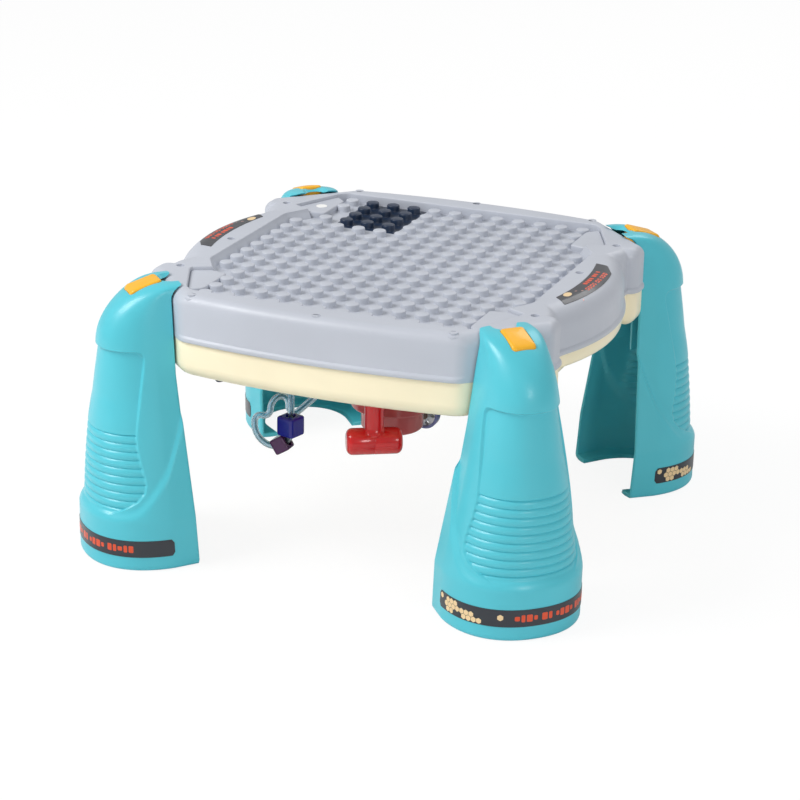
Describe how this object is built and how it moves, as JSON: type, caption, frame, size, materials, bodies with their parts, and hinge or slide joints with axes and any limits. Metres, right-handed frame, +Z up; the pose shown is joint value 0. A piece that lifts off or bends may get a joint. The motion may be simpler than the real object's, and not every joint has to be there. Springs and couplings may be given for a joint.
{
  "type": "musical activity table",
  "caption": "Square toddler play table with bowed edges, a sunk studded top, four flared clip-on corner legs, and beads, gears, handle and music keys on the underside.",
  "frame": {"origin": "centre of the table on the floor", "axes": "+Z up, the bowed front edge faces -Y, +X to the right seen from the front"},
  "size_m": [0.349, 0.349, 0.187],
  "materials": {
    "grey_shell": "moulded, semi-gloss",
    "cream_shell": "moulded, semi-gloss",
    "navy_insert": "smooth, matt",
    "steel": "plain bright steel",
    "label_dark": "smooth, matt",
    "sticker_white": "smooth, matt",
    "cyan_leg": "moulded, semi-gloss",
    "amber_button": "moulded, semi-gloss",
    "clear_tube": "clear, smooth",
    "blue_bead": "moulded, semi-gloss",
    "purple_bead": "moulded, semi-gloss",
    "red_handle": "moulded, semi-gloss",
    "pink_clear": "translucent, smooth",
    "white_plastic": "moulded, semi-gloss",
    "clear_wheel": "translucent, smooth",
    "slate_gear": "smooth, matt",
    "pad_rubber": "soft, matt",
    "board_green": "smooth, matt",
    "battery_green": "printed sleeve",
    "contact_metal": "plain bright steel"
  },
  "bodies": {
    "table": {"top_shell": "grey_shell", "bottom_shell": "cream_shell", "stud_insert": "navy_insert", "shell_screws": "steel", "side_labels": "label_dark", "pocket_sticker": "sticker_white", "bead_track": "clear_tube", "spinner_post": "white_plastic", "gear_caps": "amber_button", "key_bar": "cream_shell", "key_pads": "pad_rubber", "circuit_board": "board_green", "board_screws": "steel", "speaker": "slate_gear", "speaker_ring": "cream_shell", "power_switch": "slate_gear", "battery_box": "cream_shell", "batteries": "battery_green", "battery_contacts": "contact_metal", "battery_door": "cream_shell", "door_screw": "steel"},
    "handle": {"twist_handle": "red_handle", "handle_retainer": "steel"},
    "drum": {"rattle_drum": "pink_clear", "drum_retainer": "steel"},
    "blue_bead": {"blue_bead": "blue_bead"},
    "purple_bead": {"purple_bead": "purple_bead"},
    "spinner": {"spinner_wheel": "clear_wheel"},
    "gear_1": {"play_gear_1": "slate_gear"},
    "gear_2": {"play_gear_2": "slate_gear"},
    "gear_3": {"play_gear_3": "slate_gear"},
    "power_knob": {"switch_knob": "red_handle"},
    "leg_rear_right": {"leg_rear_right": "cyan_leg", "foot_label_rear_right": "label_dark"},
    "button_rear_right": {"release_button_rear_right": "amber_button", "button_spring_rear_right": "steel"},
    "leg_rear_left": {"leg_rear_left": "cyan_leg", "foot_label_rear_left": "label_dark"},
    "button_rear_left": {"release_button_rear_left": "amber_button", "button_spring_rear_left": "steel"},
    "leg_front_left": {"leg_front_left": "cyan_leg", "foot_label_front_left": "label_dark"},
    "button_front_left": {"release_button_front_left": "amber_button", "button_spring_front_left": "steel"},
    "leg_front_right": {"leg_front_right": "cyan_leg", "foot_label_front_right": "label_dark"},
    "button_front_right": {"release_button_front_right": "amber_button", "button_spring_front_right": "steel"},
    "key_1": {"music_key_1": "red_handle"},
    "key_2": {"music_key_2": "amber_button"},
    "key_3": {"music_key_3": "cyan_leg"},
    "key_4": {"music_key_4": "blue_bead"},
    "key_5": {"music_key_5": "purple_bead"}
  },
  "joints": [
    {"name": "leg_pull_rear_right", "type": "slide", "parent": "table", "child": "leg_rear_right", "axis": [0.7071, 0.7071, 0], "range_m": [0, 0.03]},
    {"name": "button_press_rear_right", "type": "slide", "parent": "leg_rear_right", "child": "button_rear_right", "axis": [0, 0, -1], "range_m": [0, 0.003], "stiffness_N_per_m": 300, "springref_m": -0.002, "deforming": ["button_spring_rear_right"]},
    {"name": "leg_pull_rear_left", "type": "slide", "parent": "table", "child": "leg_rear_left", "axis": [-0.7071, 0.7071, 0], "range_m": [0, 0.03]},
    {"name": "button_press_rear_left", "type": "slide", "parent": "leg_rear_left", "child": "button_rear_left", "axis": [0, 0, -1], "range_m": [0, 0.003], "stiffness_N_per_m": 300, "springref_m": -0.002, "deforming": ["button_spring_rear_left"]},
    {"name": "leg_pull_front_left", "type": "slide", "parent": "table", "child": "leg_front_left", "axis": [-0.7071, -0.7071, 0], "range_m": [0, 0.03]},
    {"name": "button_press_front_left", "type": "slide", "parent": "leg_front_left", "child": "button_front_left", "axis": [0, 0, -1], "range_m": [0, 0.003], "stiffness_N_per_m": 300, "springref_m": -0.002, "deforming": ["button_spring_front_left"]},
    {"name": "leg_pull_front_right", "type": "slide", "parent": "table", "child": "leg_front_right", "axis": [0.7071, -0.7071, 0], "range_m": [0, 0.03]},
    {"name": "button_press_front_right", "type": "slide", "parent": "leg_front_right", "child": "button_front_right", "axis": [0, 0, -1], "range_m": [0, 0.003], "stiffness_N_per_m": 300, "springref_m": -0.002, "deforming": ["button_spring_front_right"]},
    {"name": "handle_twist", "type": "hinge", "parent": "table", "child": "handle", "pos_m": [0.0293, -0.116, 0.0955], "axis": [0, 0, 1], "continuous": true},
    {"name": "drum_spin", "type": "hinge", "parent": "table", "child": "drum", "pos_m": [0.023, -0.07, 0.108], "axis": [0, 0, 1], "continuous": true},
    {"name": "spinner_spin", "type": "hinge", "parent": "table", "child": "spinner", "pos_m": [0.036, -0.0432, 0.0904], "axis": [0, -1, 0], "continuous": true},
    {"name": "blue_bead_slide", "type": "slide", "parent": "table", "child": "blue_bead", "axis": [0, 0, 1], "range_m": [0, 0.024]},
    {"name": "purple_bead_slide", "type": "hinge", "parent": "table", "child": "purple_bead", "pos_m": [-0.0495, -0.1, 0.0868], "axis": [0, 1, 0], "range_deg": [0, 75]},
    {"name": "gear_1_spin", "type": "hinge", "parent": "table", "child": "gear_1", "pos_m": [-0.0808, -0.0995, 0.1225], "axis": [0, 0, 1], "continuous": true},
    {"name": "gear_2_spin", "type": "hinge", "parent": "table", "child": "gear_2", "pos_m": [-0.07176, -0.06797, 0.1225], "axis": [0, 0, 1], "continuous": true},
    {"name": "gear_3_spin", "type": "hinge", "parent": "table", "child": "gear_3", "pos_m": [-0.10277, -0.05729, 0.1225], "axis": [0, 0, 1], "continuous": true},
    {"name": "key_press_1", "type": "hinge", "parent": "table", "child": "key_1", "pos_m": [-0.04, 0.073, 0.1344], "axis": [-1, 0, 0], "range_deg": [0, 4], "stiffness_Nm_per_rad": 0.15, "springref_deg": -5.73},
    {"name": "key_press_2", "type": "hinge", "parent": "table", "child": "key_2", "pos_m": [-0.02, 0.073, 0.1344], "axis": [-1, 0, 0], "range_deg": [0, 4], "stiffness_Nm_per_rad": 0.15, "springref_deg": -5.73},
    {"name": "key_press_3", "type": "hinge", "parent": "table", "child": "key_3", "pos_m": [0, 0.073, 0.1344], "axis": [-1, 0, 0], "range_deg": [0, 4], "stiffness_Nm_per_rad": 0.15, "springref_deg": -5.73},
    {"name": "key_press_4", "type": "hinge", "parent": "table", "child": "key_4", "pos_m": [0.02, 0.073, 0.1344], "axis": [-1, 0, 0], "range_deg": [0, 4], "stiffness_Nm_per_rad": 0.15, "springref_deg": -5.73},
    {"name": "key_press_5", "type": "hinge", "parent": "table", "child": "key_5", "pos_m": [0.04, 0.073, 0.1344], "axis": [-1, 0, 0], "range_deg": [0, 4], "stiffness_Nm_per_rad": 0.15, "springref_deg": -5.73},
    {"name": "power_slide", "type": "slide", "parent": "table", "child": "power_knob", "axis": [1, 0, 0], "range_m": [0, 0.005]}
  ],
  "couplings": [
    {"joint": "gear_2_spin", "follows": "gear_1_spin", "ratio": -1},
    {"joint": "gear_3_spin", "follows": "gear_1_spin", "ratio": 1}
  ]
}
